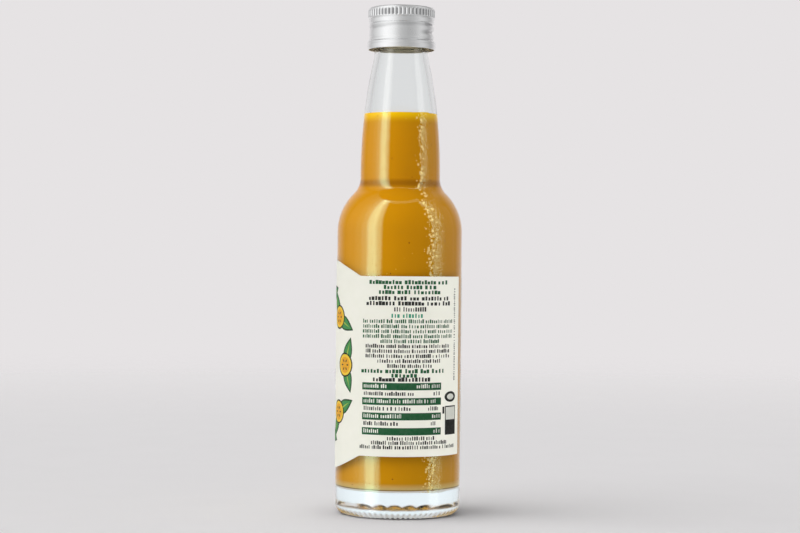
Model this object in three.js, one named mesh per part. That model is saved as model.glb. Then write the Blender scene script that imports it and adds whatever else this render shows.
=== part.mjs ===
// A 100 ml glass bottle of hot sauce with a screwed-on aluminium cap and a wrap-round paper label.
// Millimetres, +Z up. The origin is the middle of the ring that the bottle stands on, and -Y is the
// side that shows the plain back panel of the label.
import * as THREE from "three";

// Glass, outside
const bodyRadius = 20.25;
const heelRadius = 3.4;
const standingRingWidth = 1.9;
const baseHollowDepth = 1.3;
const shoulderStart = 91.3;
const shoulderRadius = 17.5;
const shoulderSweep = THREE.MathUtils.degToRad(45.5);
const waistRadius = 7;
const neckTaperStart = 110.5;
const neckTaperRadius = 175;
const collarRadius = 8.75;
const finishRadius = 9.45;
const finishStart = 152;
const finishChamfer = 0.7;
const mouthHeight = 162.1;
const mouthRounding = 0.8;

// Glass, inside. The wall thins out over the waist, from the body's wall to the neck's.
const wall = 2.5;
const neckWall = 1.7;
const floorHeight = 8.2;
const floorCornerRadius = 4;
const floorRise = 0.8;

// Sauce
const sauceLevel = 129.6;
const sauceGap = 0.3;

// Label, as a back panel and a front panel on one strip of paper. Angles are counted from -Y towards +X.
const labelGap = 0.1;
const labelThickness = 0.15;
const labelBottom = 20;
const labelTop = 77;
const frontPanelFlare = 5.2;
const labelEndAngle = THREE.MathUtils.degToRad(70);
const panelCornerAngle = THREE.MathUtils.degToRad(-37);
const frontPanelAngle = THREE.MathUtils.degToRad(-98.5);
const labelStep = THREE.MathUtils.degToRad(7);

// Cap, from its rim upwards
const rimHeight = 150.5;
const rimRadius = 10.95;
const skirtRadius = 11.2;
const skirtBottom = 152;
const skirtTop = 152.9;
const bandRadius = 10.5;
const bandBottom = 153.6;
const bandTop = 158.4;
const beadRadius = 10.65;
const beadBottom = 159;
const beadTop = 160.2;
const knurlRadius = 10.85;
const knurlBottom = 160.7;
const knurlDepth = 0.3;
const knurlRibs = 52;
const capTop = 164.1;
const capEdgeRounding = 1.1;
const capSheet = 0.4;
const capRoofThickness = 1.6;

// Steps of the turned shapes: round the axis, and along each arc of an outline
const glassSegments = 40;
const capSegments = 2 * knurlRibs;
const domeSteps = 3;
const cornerSteps = 4;
const longArcSteps = 5;
const edgeSteps = 2;

function point(radius, height) {
  return new THREE.Vector2(radius, height);
}

// Points along an arc in the plane of radius and height, from one angle to the other in degrees. The
// arc's own radius may change evenly on the way.
function arc(centreRadius, centreHeight, radius, fromAngle, toAngle, steps, endRadius = radius) {
  const points = [];
  for (let i = 0; i <= steps; i++) {
    const angle = THREE.MathUtils.degToRad(fromAngle + ((toAngle - fromAngle) * i) / steps);
    const reach = radius + ((endRadius - radius) * i) / steps;
    points.push(point(centreRadius + reach * Math.cos(angle), centreHeight + reach * Math.sin(angle)));
  }
  return points;
}

// Points of a shallow dome from the axis out to a radius, as an arc that is level at the axis.
function dome(outerRadius, outerHeight, rise) {
  const curvature = (outerRadius ** 2 + rise ** 2) / (2 * rise);
  const sweep = THREE.MathUtils.radToDeg(Math.asin(outerRadius / curvature));
  return arc(0, outerHeight + rise - curvature, curvature, 90, 90 - sweep, domeSteps);
}

// The wall from the start of the shoulder up to the collar, moved inwards by a distance square to it:
// one distance over the shoulder and another one up the neck.
function wallOutline(inset, neckInset) {
  const sweep = THREE.MathUtils.radToDeg(shoulderSweep);
  const shoulderCentre = bodyRadius - shoulderRadius;
  const waistCentre = shoulderCentre + (shoulderRadius + waistRadius) * Math.cos(shoulderSweep);
  const waistHeight = shoulderStart + (shoulderRadius + waistRadius) * Math.sin(shoulderSweep);
  const neckRadius = waistCentre - waistRadius;
  const neckCentre = neckRadius - neckTaperRadius;
  const taperSweep = THREE.MathUtils.radToDeg(Math.acos((collarRadius - neckCentre) / neckTaperRadius));
  const hollow = waistRadius + inset;
  const neckHollow = waistRadius + neckInset;
  return [
    ...arc(shoulderCentre, shoulderStart, shoulderRadius - inset, 0, sweep, longArcSteps),
    ...arc(waistCentre, waistHeight, hollow, 180 + sweep, 180, cornerSteps, neckHollow).slice(1),
    ...arc(neckCentre, neckTaperStart, neckTaperRadius - neckInset, 0, taperSweep, longArcSteps),
  ];
}

function outsideOutline() {
  const heelCentre = bodyRadius - heelRadius;
  const ringInner = heelCentre - standingRingWidth;
  return [
    ...dome(ringInner, 0, baseHollowDepth),
    ...arc(heelCentre, heelRadius, heelRadius, -90, 0, cornerSteps),
    ...wallOutline(0, 0),
    point(collarRadius, finishStart - finishChamfer),
    point(finishRadius, finishStart),
    ...arc(finishRadius - mouthRounding, mouthHeight - mouthRounding, mouthRounding, 0, 90, edgeSteps),
  ];
}

// The inside of the glass from the middle of the floor upwards, moved inwards by a gap.
function insideOutline(gap) {
  const cornerRadius = floorCornerRadius - gap;
  const cornerCentre = bodyRadius - wall - floorCornerRadius;
  return [
    ...dome(cornerCentre, floorHeight + gap, floorRise).slice(0, -1),
    ...arc(cornerCentre, floorHeight + floorCornerRadius, cornerRadius, -90, 0, cornerSteps),
    ...wallOutline(wall + gap, neckWall + gap),
  ];
}

function boreOutline() {
  const bore = collarRadius - neckWall;
  return [point(bore, mouthHeight - mouthRounding), point(bore + mouthRounding, mouthHeight)];
}

// Cuts an outline that climbs from the floor level at a height and closes it on the axis.
function filledTo(outline, height) {
  const filled = [];
  for (let i = 0; i < outline.length; i++) {
    if (outline[i].y >= height) {
      const below = outline[i - 1];
      const share = (height - below.y) / (outline[i].y - below.y);
      filled.push(point(below.x + (outline[i].x - below.x) * share, height));
      break;
    }
    filled.push(outline[i]);
  }
  filled.push(point(0, height));
  return filled;
}

// Turns an outline about +Z.
function turned(outline, segments) {
  return new THREE.LatheGeometry(outline, segments).rotateX(Math.PI / 2);
}

// The cap is one pressed shell, open below: its lining first, then its outer face from the rim up.
function capOutline() {
  const liningRadius = bandRadius - capSheet;
  const roof = capTop - capRoofThickness;
  const edgeRadius = knurlRadius - capEdgeRounding;
  return [
    point(0, roof),
    point(liningRadius, roof),
    point(liningRadius, bandBottom + capSheet),
    point(skirtRadius - capSheet, skirtTop),
    point(rimRadius - capSheet, rimHeight),
    point(rimRadius, rimHeight),
    point(skirtRadius, skirtBottom),
    point(skirtRadius, skirtTop),
    point(bandRadius, bandBottom),
    point(bandRadius, bandTop),
    point(beadRadius, beadBottom),
    point(beadRadius, beadTop),
    point(bandRadius, (beadTop + knurlBottom) / 2),
    point(knurlRadius, knurlBottom),
    ...arc(edgeRadius, capTop - capEdgeRounding, capEdgeRounding, 0, 90, edgeSteps),
    point(0, capTop),
  ];
}

// Presses the grooves between the ribs into every other copy of the cap's outline.
function knurled(geometry) {
  const positions = geometry.getAttribute("position");
  const outlinePoints = capOutline().length;
  const knurlTop = capTop - capEdgeRounding / 2;
  for (let i = 0; i < positions.count; i++) {
    const radius = Math.hypot(positions.getX(i), positions.getY(i));
    const height = positions.getZ(i);
    const inGroove = Math.floor(i / outlinePoints) % 2 === 1;
    const onKnurl = height >= knurlBottom && height < knurlTop && radius > bandRadius;
    if (inGroove && onKnurl) {
      const scale = (radius - knurlDepth) / radius;
      positions.setXY(i, positions.getX(i) * scale, positions.getY(i) * scale);
    }
  }
  return geometry;
}

// How far the label's front panel reaches past the back panel's edges, as a share of the flare. Both
// sides are alike: the edge sweeps up from the back panel and levels off over the middle of the front.
function flareShare(angle) {
  const mirrored = frontPanelAngle + Math.abs(angle - frontPanelAngle);
  if (mirrored < -Math.PI / 2) return 1;
  const cornerSine = Math.sin(panelCornerAngle);
  return Math.max(0, (cornerSine - Math.sin(mirrored)) / (cornerSine + 1));
}

// A curved strip of paper with an outline that follows flareShare. Each station round the bottle has
// four corners: inner bottom, outer bottom, outer top, inner top.
function labelGeometry() {
  const halfSpan = labelEndAngle - frontPanelAngle;
  const steps = 2 * Math.ceil(halfSpan / labelStep);
  const inner = bodyRadius + labelGap;
  const outer = inner + labelThickness;
  const positions = [];
  const faces = [];
  for (let i = 0; i <= steps; i++) {
    const angle = frontPanelAngle + halfSpan * ((2 * i) / steps - 1);
    const flare = frontPanelFlare * flareShare(angle);
    const low = labelBottom - flare;
    const high = labelTop + flare;
    for (const [radius, height] of [[inner, low], [outer, low], [outer, high], [inner, high]]) {
      positions.push(radius * Math.sin(angle), -radius * Math.cos(angle), height);
    }
  }
  for (let i = 0; i < steps; i++) {
    for (let side = 0; side < 4; side++) {
      const a = 4 * i + side;
      const b = 4 * i + ((side + 1) % 4);
      faces.push(a, a + 4, b + 4, a, b + 4, b);
    }
  }
  const last = 4 * steps;
  faces.push(0, 1, 2, 0, 2, 3, last, last + 2, last + 1, last, last + 3, last + 2);
  const geometry = new THREE.BufferGeometry();
  geometry.setAttribute("position", new THREE.Float32BufferAttribute(positions, 3));
  geometry.setIndex(faces);
  geometry.computeVertexNormals();
  return geometry;
}

function named(name, geometry, material) {
  const mesh = new THREE.Mesh(geometry, material);
  mesh.name = name;
  return mesh;
}

const clearGlass = new THREE.MeshStandardMaterial({
  color: 0xeef3f4,
  roughness: 0.05,
  metalness: 0,
  transparent: true,
  opacity: 0.35,
});
const passionfruitSauce = new THREE.MeshStandardMaterial({ color: 0xc08212, roughness: 0.5, metalness: 0 });
const creamPaper = new THREE.MeshStandardMaterial({ color: 0xf4f4e8, roughness: 0.75, metalness: 0 });
const brushedAluminium = new THREE.MeshStandardMaterial({ color: 0xc6c7c9, roughness: 0.35, metalness: 0.9 });

const glassOutline = [...outsideOutline(), ...[...insideOutline(0), ...boreOutline()].reverse()];

const sauceBottle = new THREE.Group();
sauceBottle.add(
  named("bottle", turned(glassOutline, glassSegments), clearGlass),
  named("sauce", turned(filledTo(insideOutline(sauceGap), sauceLevel), glassSegments), passionfruitSauce),
  named("label", labelGeometry(), creamPaper),
  named("cap", knurled(turned(capOutline(), capSegments)), brushedAluminium),
);

export default sauceBottle;
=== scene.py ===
import math
import random

import bmesh
import bpy
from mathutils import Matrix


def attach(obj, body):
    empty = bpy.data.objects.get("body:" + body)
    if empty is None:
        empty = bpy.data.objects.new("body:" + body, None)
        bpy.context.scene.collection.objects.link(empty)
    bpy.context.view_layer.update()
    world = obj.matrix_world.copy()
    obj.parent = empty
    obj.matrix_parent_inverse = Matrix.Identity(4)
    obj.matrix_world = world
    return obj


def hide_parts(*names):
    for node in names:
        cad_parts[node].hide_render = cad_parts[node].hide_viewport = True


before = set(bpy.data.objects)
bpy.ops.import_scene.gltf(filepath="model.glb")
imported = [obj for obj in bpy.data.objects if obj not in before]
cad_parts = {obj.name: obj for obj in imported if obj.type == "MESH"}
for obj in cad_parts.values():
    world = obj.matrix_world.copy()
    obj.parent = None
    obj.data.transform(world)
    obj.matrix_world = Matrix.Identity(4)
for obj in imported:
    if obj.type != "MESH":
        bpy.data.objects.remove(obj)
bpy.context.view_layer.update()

# Bottle. One piece of clear soda glass, blown in a mould, with a thick floor, a round shoulder and a
# slim neck that takes a screw cap. Its heel is scalloped, so that it stands steady and doesn't scratch.
MM = 0.001
BODY_RADIUS = 20.25
HEEL_RADIUS = 3.4
STANDING_RING = 1.9
BASE_HOLLOW = 1.3
SHOULDER_START = 91.3
SHOULDER_RADIUS = 17.5
SHOULDER_SWEEP = 45.5
WAIST_RADIUS = 7
NECK_TAPER_START = 110.5
NECK_TAPER_RADIUS = 175
COLLAR_RADIUS = 8.75
FINISH_RADIUS = 9.45
FINISH_START = 152
FINISH_CHAMFER = 0.7
MOUTH_HEIGHT = 162.1
MOUTH_ROUNDING = 0.8
WALL = 2.5
NECK_WALL = 1.7
FLOOR_HEIGHT = 8.2
FLOOR_CORNER = 4
FLOOR_RISE = 0.8
SCALLOPS = 66
SCALLOP_DEPTH = 0.42
SCALLOP_TOP = 2.6
FIRST_SCALLOP = 3.6
BOTTLE_SEGMENTS = 6 * SCALLOPS
FILL_HEIGHT = 129.6
STIPPLE_ROUGHNESS = 0.22
HOLLOW_ROUGHNESS = 0.2
PITS = 3.7


def arc(centre_radius, centre_height, radius, start, end, steps, end_radius=None):
    """Points (radius, height) along an arc, whose own radius may change evenly on the way."""
    points = []
    for i in range(steps + 1):
        angle = math.radians(start + (end - start) * i / steps)
        reach = radius + ((end_radius or radius) - radius) * i / steps
        points.append((centre_radius + reach * math.cos(angle), centre_height + reach * math.sin(angle)))
    return points


def dome(radius, height, rise):
    """A shallow dome from the axis out to a radius."""
    curvature = (radius**2 + rise**2) / (2 * rise)
    sweep = math.degrees(math.asin(radius / curvature))
    points = arc(0, height + rise - curvature, curvature, 90, 90 - sweep, 8)
    return [(0, height + rise)] + points[1:]


def wall_outline(inset, neck_inset):
    """The wall from the shoulder up to the collar, moved inwards, with a distance of its own for the neck."""
    sweep = math.radians(SHOULDER_SWEEP)
    shoulder_centre = BODY_RADIUS - SHOULDER_RADIUS
    waist_centre = shoulder_centre + (SHOULDER_RADIUS + WAIST_RADIUS) * math.cos(sweep)
    waist_height = SHOULDER_START + (SHOULDER_RADIUS + WAIST_RADIUS) * math.sin(sweep)
    neck_centre = waist_centre - WAIST_RADIUS - NECK_TAPER_RADIUS
    taper = math.degrees(math.acos((COLLAR_RADIUS - neck_centre) / NECK_TAPER_RADIUS))
    shoulder = arc(shoulder_centre, SHOULDER_START, SHOULDER_RADIUS - inset, 0, SHOULDER_SWEEP, 22)
    hollow = WAIST_RADIUS + inset
    neck_hollow = WAIST_RADIUS + neck_inset
    waist = arc(waist_centre, waist_height, hollow, 180 + SHOULDER_SWEEP, 180, 12, neck_hollow)
    neck = arc(neck_centre, NECK_TAPER_START, NECK_TAPER_RADIUS - neck_inset, 0, taper, 14)
    return shoulder + waist[1:] + neck


def inside_outline(reach):
    """The inside of the glass from the middle of the floor up to the collar, moved into the wall by a reach."""
    corner_centre = BODY_RADIUS - WALL - FLOOR_CORNER
    floor = dome(corner_centre, FLOOR_HEIGHT - reach, FLOOR_RISE)
    corner = arc(corner_centre, FLOOR_HEIGHT + FLOOR_CORNER, FLOOR_CORNER + reach, -90, 0, 12)
    return floor[:-1] + corner + wall_outline(WALL - reach, NECK_WALL - reach)


def glass_outline():
    """The whole section of the glass, up the outside and down the inside."""
    heel_centre = BODY_RADIUS - HEEL_RADIUS
    rim = arc(FINISH_RADIUS - MOUTH_ROUNDING, MOUTH_HEIGHT - MOUTH_ROUNDING, MOUTH_ROUNDING, 0, 90, 5)
    outside = dome(heel_centre - STANDING_RING, 0, BASE_HOLLOW)
    outside += arc(heel_centre, HEEL_RADIUS, HEEL_RADIUS, -90, 0, 24)
    outside += wall_outline(0, 0)
    outside += [(COLLAR_RADIUS, FINISH_START - FINISH_CHAMFER), (FINISH_RADIUS, FINISH_START)]
    bore = COLLAR_RADIUS - NECK_WALL
    mouth = arc(bore + MOUTH_ROUNDING, MOUTH_HEIGHT - MOUTH_ROUNDING, MOUTH_ROUNDING, 90, 180, 5)
    return outside + rim + mouth + inside_outline(0)[::-1]


def turned(name, outline, segments):
    """Turns an outline about +Z into a closed mesh. A point on the axis becomes one pole."""
    shape = bmesh.new()
    rings = []
    for radius, height in outline:
        if radius < 1e-6:
            rings.append([shape.verts.new((0, 0, height * MM))] * segments)
            continue
        ring = []
        for i in range(segments):
            angle = 2 * math.pi * i / segments
            ring.append(shape.verts.new((radius * MM * math.sin(angle), -radius * MM * math.cos(angle), height * MM)))
        rings.append(ring)
    for lower, upper in zip(rings, rings[1:]):
        for i in range(segments):
            j = (i + 1) % segments
            shape.faces.new(dict.fromkeys([lower[i], lower[j], upper[j], upper[i]]))
    return smooth_piece(name, shape)


def smooth_piece(name, shape, sharp_from=40):
    """Makes an object of a bmesh, with smooth shading that breaks only at real corners."""
    mesh = bpy.data.meshes.new(name)
    shape.to_mesh(mesh)
    shape.free()
    mesh.shade_smooth()
    mesh.set_sharp_from_angle(angle=math.radians(sharp_from))
    piece = bpy.data.objects.new(name, mesh)
    bpy.context.scene.collection.objects.link(piece)
    return piece


def add(tree, kind, inputs, **settings):
    """Adds a node with its own settings, and feeds each input from another node's socket or with a value."""
    made = tree.nodes.new(kind)
    for name, value in settings.items():
        setattr(made, name, value)
    for key, value in inputs.items():
        if isinstance(value, bpy.types.NodeSocket):
            tree.links.new(value, made.inputs[key])
        else:
            made.inputs[key].default_value = value
    return made


def maths(tree, operation, *values):
    """The result of one sum, with sockets or numbers."""
    return add(tree, "ShaderNodeMath", dict(enumerate(values)), operation=operation).outputs[0]


def eased(tree, value, start, end):
    """Goes smoothly from 0 to 1 while the value goes from start to end."""
    ends = {"Value": value, "From Min": start, "From Max": end}
    return add(tree, "ShaderNodeMapRange", ends, interpolation_type="SMOOTHSTEP").outputs[0]


def shaping(name, sizes):
    """Starts a Geometry Nodes tree whose inputs are a geometry, a material and named sizes."""
    tree = bpy.data.node_groups.new(name, "GeometryNodeTree")
    tree.interface.new_socket("Geometry", in_out="INPUT", socket_type="NodeSocketGeometry")
    tree.interface.new_socket("Material", in_out="INPUT", socket_type="NodeSocketMaterial")
    for size in sizes:
        tree.interface.new_socket(size, in_out="INPUT", socket_type="NodeSocketFloat")
    tree.interface.new_socket("Geometry", in_out="OUTPUT", socket_type="NodeSocketGeometry")
    return tree, tree.nodes.new("NodeGroupInput").outputs


def end_shaping(tree, geometry, given):
    """Ends a Geometry Nodes tree with real geometry in the given material."""
    whole = add(tree, "GeometryNodeRealizeInstances", {0: geometry}).outputs[0]
    painted = add(tree, "GeometryNodeSetMaterial", {"Geometry": whole, "Material": given["Material"]})
    add(tree, "NodeGroupOutput", {0: painted.outputs[0]})


def shaped(blank, tree, material, sizes):
    """Runs a tree on a blank and keeps the result as the blank's own plain mesh."""
    modifier = blank.modifiers.new(tree.name, "NODES")
    modifier.node_group = tree
    for socket in tree.interface.items_tree:
        if socket.in_out == "INPUT" and socket.name in sizes:
            modifier[socket.identifier] = float(sizes[socket.name])
        elif socket.in_out == "INPUT" and socket.name == "Material":
            modifier[socket.identifier] = material
    bpy.context.view_layer.update()
    evaluated = blank.evaluated_get(bpy.context.evaluated_depsgraph_get())
    mesh = bpy.data.meshes.new_from_object(evaluated)
    blank.modifiers.remove(modifier)
    blank.data = mesh
    return blank


def polar(tree):
    """Sockets for the position, the radius from the axis, the angle round it and the height, in a shaping tree."""
    position = add(tree, "GeometryNodeInputPosition", {}).outputs[0]
    axes = add(tree, "ShaderNodeSeparateXYZ", {0: position}).outputs
    angle = maths(tree, "ARCTAN2", axes[0], maths(tree, "MULTIPLY", axes[1], -1))
    squares = maths(tree, "ADD", maths(tree, "POWER", axes[0], 2), maths(tree, "POWER", axes[1], 2))
    return position, maths(tree, "SQRT", squares), angle, axes[2]


def pressed(tree, geometry, position, radius, depth):
    """Moves the surface towards the axis by a depth."""
    kept = maths(tree, "DIVIDE", maths(tree, "SUBTRACT", radius, depth), maths(tree, "MAXIMUM", radius, 1e-6))
    shares = add(tree, "ShaderNodeCombineXYZ", {0: kept, 1: kept, 2: 1.0}).outputs[0]
    moved = add(tree, "ShaderNodeVectorMath", {0: position, 1: shares}, operation="MULTIPLY").outputs[0]
    return add(tree, "GeometryNodeSetPosition", {"Geometry": geometry, "Position": moved}).outputs[0]


def furrows(tree, angle, count, first):
    """0 on each rib and 1 in the middle between two ribs, for evenly spaced upright ribs."""
    turns = maths(tree, "MULTIPLY", maths(tree, "SUBTRACT", angle, first), count)
    return maths(tree, "MULTIPLY_ADD", maths(tree, "COSINE", turns), -0.5, 0.5)


def colour(code):
    """A colour from its web code."""
    channels = [int(code[i : i + 2], 16) / 255 for i in (0, 2, 4)]
    return [c / 12.92 if c <= 0.04045 else ((c + 0.055) / 1.055) ** 2.4 for c in channels] + [1]


def finish(name, **sockets):
    """A new material: its node tree and its shader, with constants on the shader's own sockets."""
    material = bpy.data.materials.new(name)
    material.use_nodes = True
    tree = material.node_tree
    shader = tree.nodes["Principled BSDF"]
    for key, value in sockets.items():
        shader.inputs[key.replace("_", " ")].default_value = value
    return material, tree, shader


def spread(tree, scales, shift=(0, 0, 0)):
    """The piece's own coordinates, stretched to the grain of a pattern."""
    own = add(tree, "ShaderNodeTexCoord", {}).outputs["Object"]
    return add(tree, "ShaderNodeMapping", {"Vector": own, "Scale": scales, "Location": shift}).outputs[0]


def noise(tree, scales, detail=2.0, rough=0.5):
    """A noise pattern from 0 to 1 over the piece's own coordinates."""
    inputs = {"Vector": spread(tree, scales), "Scale": 1.0, "Detail": detail, "Roughness": rough}
    return add(tree, "ShaderNodeTexNoise", inputs).outputs["Fac"]


def bumped(tree, shader, height, distance, strength=1.0):
    """Raises the surface by a pattern."""
    inputs = {"Height": height, "Distance": distance * MM, "Strength": strength}
    tree.links.new(add(tree, "ShaderNodeBump", inputs).outputs[0], shader.inputs["Normal"])


def span(tree, value, low, high):
    """Spreads a value that goes from 0 to 1 over another range."""
    return add(tree, "ShaderNodeMapRange", {"Value": value, "To Min": low, "To Max": high}).outputs[0]


def clear_glass():
    """Clear glass with the waves of a blown wall and a stippled heel. It shines less where it holds no sauce."""
    material, tree, shader = finish(
        "clear soda glass", Base_Color=(0.955, 0.975, 0.972, 1), IOR=1.5, Transmission_Weight=1.0
    )
    own = add(tree, "ShaderNodeSeparateXYZ", {0: spread(tree, (1, 1, 1))}).outputs
    stipple = maths(tree, "SUBTRACT", 1, eased(tree, own[2], 2.4 * MM, 4.2 * MM))
    smear = span(tree, noise(tree, (300, 300, 90)), 0.0, 0.03)
    flat = add(tree, "ShaderNodeVectorMath", {0: spread(tree, (1, 1, 0))}, operation="LENGTH").outputs["Value"]
    ring = BODY_RADIUS - HEEL_RADIUS
    under = maths(tree, "SUBTRACT", 1, eased(tree, flat, (ring - 0.5) * MM, (ring + 0.5) * MM))
    frosting = maths(tree, "MULTIPLY_ADD", under, HOLLOW_ROUGHNESS, STIPPLE_ROUGHNESS)
    tree.links.new(maths(tree, "MULTIPLY_ADD", stipple, frosting, smear), shader.inputs["Roughness"])
    filled = maths(
        tree,
        "MULTIPLY",
        eased(tree, own[2], (FLOOR_HEIGHT - 0.5) * MM, (FLOOR_HEIGHT + 1) * MM),
        maths(tree, "SUBTRACT", 1, eased(tree, own[2], (FILL_HEIGHT - 0.3) * MM, (FILL_HEIGHT + 0.4) * MM)),
    )
    shades = {"Factor": filled, 6: (0.4, 0.4, 0.38, 1), 7: (0.57, 1, 0.64, 1)}
    tree.links.new(add(tree, "ShaderNodeMix", shades, data_type="RGBA").outputs[2], shader.inputs["Specular Tint"])
    side = maths(tree, "ARCTAN2", own[0], maths(tree, "MULTIPLY", own[1], -1))
    uneven = maths(
        tree,
        "MULTIPLY",
        eased(tree, side, math.radians(22), math.radians(33)),
        maths(tree, "SUBTRACT", 1, eased(tree, side, math.radians(42), math.radians(52))),
    )
    uneven = maths(tree, "MULTIPLY", uneven, filled)
    waves = noise(tree, (170, 170, 45), detail=1.0)
    pits = maths(tree, "MULTIPLY", noise(tree, (1300, 1300, 800), detail=2.0), maths(tree, "MULTIPLY", uneven, PITS))
    bumped(tree, shader, maths(tree, "ADD", waves, pits), 0.06)
    path = add(tree, "ShaderNodeLightPath", {}).outputs
    from_inside = add(tree, "ShaderNodeNewGeometry", {}).outputs["Backfacing"]
    above = {"Factor": filled, 6: (0.88, 0.9, 0.9, 1), 7: (0.35, 0.36, 0.36, 1)}
    upper = add(tree, "ShaderNodeMix", above, data_type="RGBA").outputs[2]
    entering = {"Factor": stipple, 6: upper, 7: (0.03, 0.03, 0.03, 1)}
    let_in = add(tree, "ShaderNodeMix", entering, data_type="RGBA").outputs[2]
    leaving = {"Factor": from_inside, 6: let_in, 7: (0.9, 0.92, 0.915, 1)}
    passed = add(tree, "ShaderNodeMix", leaving, data_type="RGBA").outputs[2]
    through = add(tree, "ShaderNodeBsdfTransparent", {"Color": passed}).outputs[0]
    # Painted shade: bounced light from matt surfaces outside meets the glass as a dark diffuse body, which darkens matt
    # surfaces near it, such as the floor round the foot.
    body = add(tree, "ShaderNodeBsdfDiffuse", {"Color": (0.08, 0.06, 0.045, 1)}).outputs[0]
    outer = maths(tree, "MULTIPLY", path["Is Diffuse Ray"], maths(tree, "SUBTRACT", 1, from_inside))
    dark_body_for_bounces = add(tree, "ShaderNodeMixShader", {0: outer, 1: shader.outputs[0], 2: body}).outputs[0]
    mixed = add(tree, "ShaderNodeMixShader", {0: path["Is Shadow Ray"], 1: dark_body_for_bounces, 2: through}).outputs[0]
    tint = add(tree, "ShaderNodeVolumeAbsorption", {"Color": (0.72, 0.88, 0.95, 1), "Density": 6.0}).outputs[0]
    output = tree.nodes["Material Output"]
    tree.links.new(mixed, output.inputs["Surface"])
    tree.links.new(tint, output.inputs["Volume"])
    return material


def scalloped_heel():
    """A tree that presses upright furrows into a turned bottle's heel and notches into its standing ring."""
    sizes = ["Scallops", "Depth", "First scallop", "Ring radius", "Ring width", "Top"]
    tree, given = shaping("scalloped heel", sizes)
    position, radius, angle, height = polar(tree)
    furrow = furrows(tree, angle, given["Scallops"], given["First scallop"])
    low_enough = maths(tree, "SUBTRACT", 1, eased(tree, height, 0, given["Top"]))
    depth = maths(tree, "MULTIPLY", maths(tree, "MULTIPLY", furrow, low_enough), given["Depth"])
    heel_top = maths(tree, "ADD", given["Ring radius"], given["Top"])
    inward = maths(tree, "MULTIPLY", depth, eased(tree, radius, given["Ring radius"], heel_top))
    furrowed = pressed(tree, given["Geometry"], position, radius, inward)
    ring_start = maths(tree, "SUBTRACT", given["Ring radius"], given["Ring width"])
    in_hollow = maths(tree, "SUBTRACT", ring_start, 1 * MM)
    upward = maths(tree, "MULTIPLY", depth, eased(tree, radius, in_hollow, ring_start))
    lift = add(tree, "ShaderNodeCombineXYZ", {2: upward}).outputs[0]
    notched = add(tree, "GeometryNodeSetPosition", {"Geometry": furrowed, "Offset": lift}).outputs[0]
    end_shaping(tree, notched, given)
    return tree


bottle = shaped(
    turned("glass_bottle", glass_outline(), BOTTLE_SEGMENTS),
    scalloped_heel(),
    clear_glass(),
    {
        "Scallops": SCALLOPS,
        "Depth": SCALLOP_DEPTH * MM,
        "First scallop": math.radians(FIRST_SCALLOP),
        "Ring radius": (BODY_RADIUS - HEEL_RADIUS) * MM,
        "Ring width": STANDING_RING * MM,
        "Top": SCALLOP_TOP * MM,
    },
)
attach(bottle, "root")
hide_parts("bottle")

# Sauce. A thick puree of passion fruit and chilli that fills the glass up to the neck and wets its wall,
# so it reaches just into the glass. It has fine dark flecks of pepper, and painted light: a glow at its level,
# a pale lit floor and underside, painted shade in its waist and painted glints on bubbles at one side.
SAUCE_LEVEL = FILL_HEIGHT - 0.4
WAIST_HEIGHT = 106.6
FLOOR_RING = BODY_RADIUS - WALL - FLOOR_CORNER
BUBBLE_GLINTS_SIDE = 33
SAUCE_WETS = 0.08
MENISCUS_RISE = 0.35
MENISCUS_WIDTH = 1.2


def sauce_outline():
    """The inside of the glass up to the sauce's level, which curls up a little at the wall."""
    outline = inside_outline(SAUCE_WETS)
    top = SAUCE_LEVEL + MENISCUS_RISE
    wetted = [p for p in outline if p[1] < top]
    below = wetted[-1]
    above = outline[len(wetted)]
    share = (top - below[1]) / (above[1] - below[1])
    edge = below[0] + (above[0] - below[0]) * share
    curl = []
    for i in range(1, 7):
        inward = i / 6
        curl.append((edge - MENISCUS_WIDTH * inward, SAUCE_LEVEL + MENISCUS_RISE * (1 - inward) ** 2))
    return wetted + [(edge, top)] + curl + [(0, SAUCE_LEVEL)]


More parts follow.
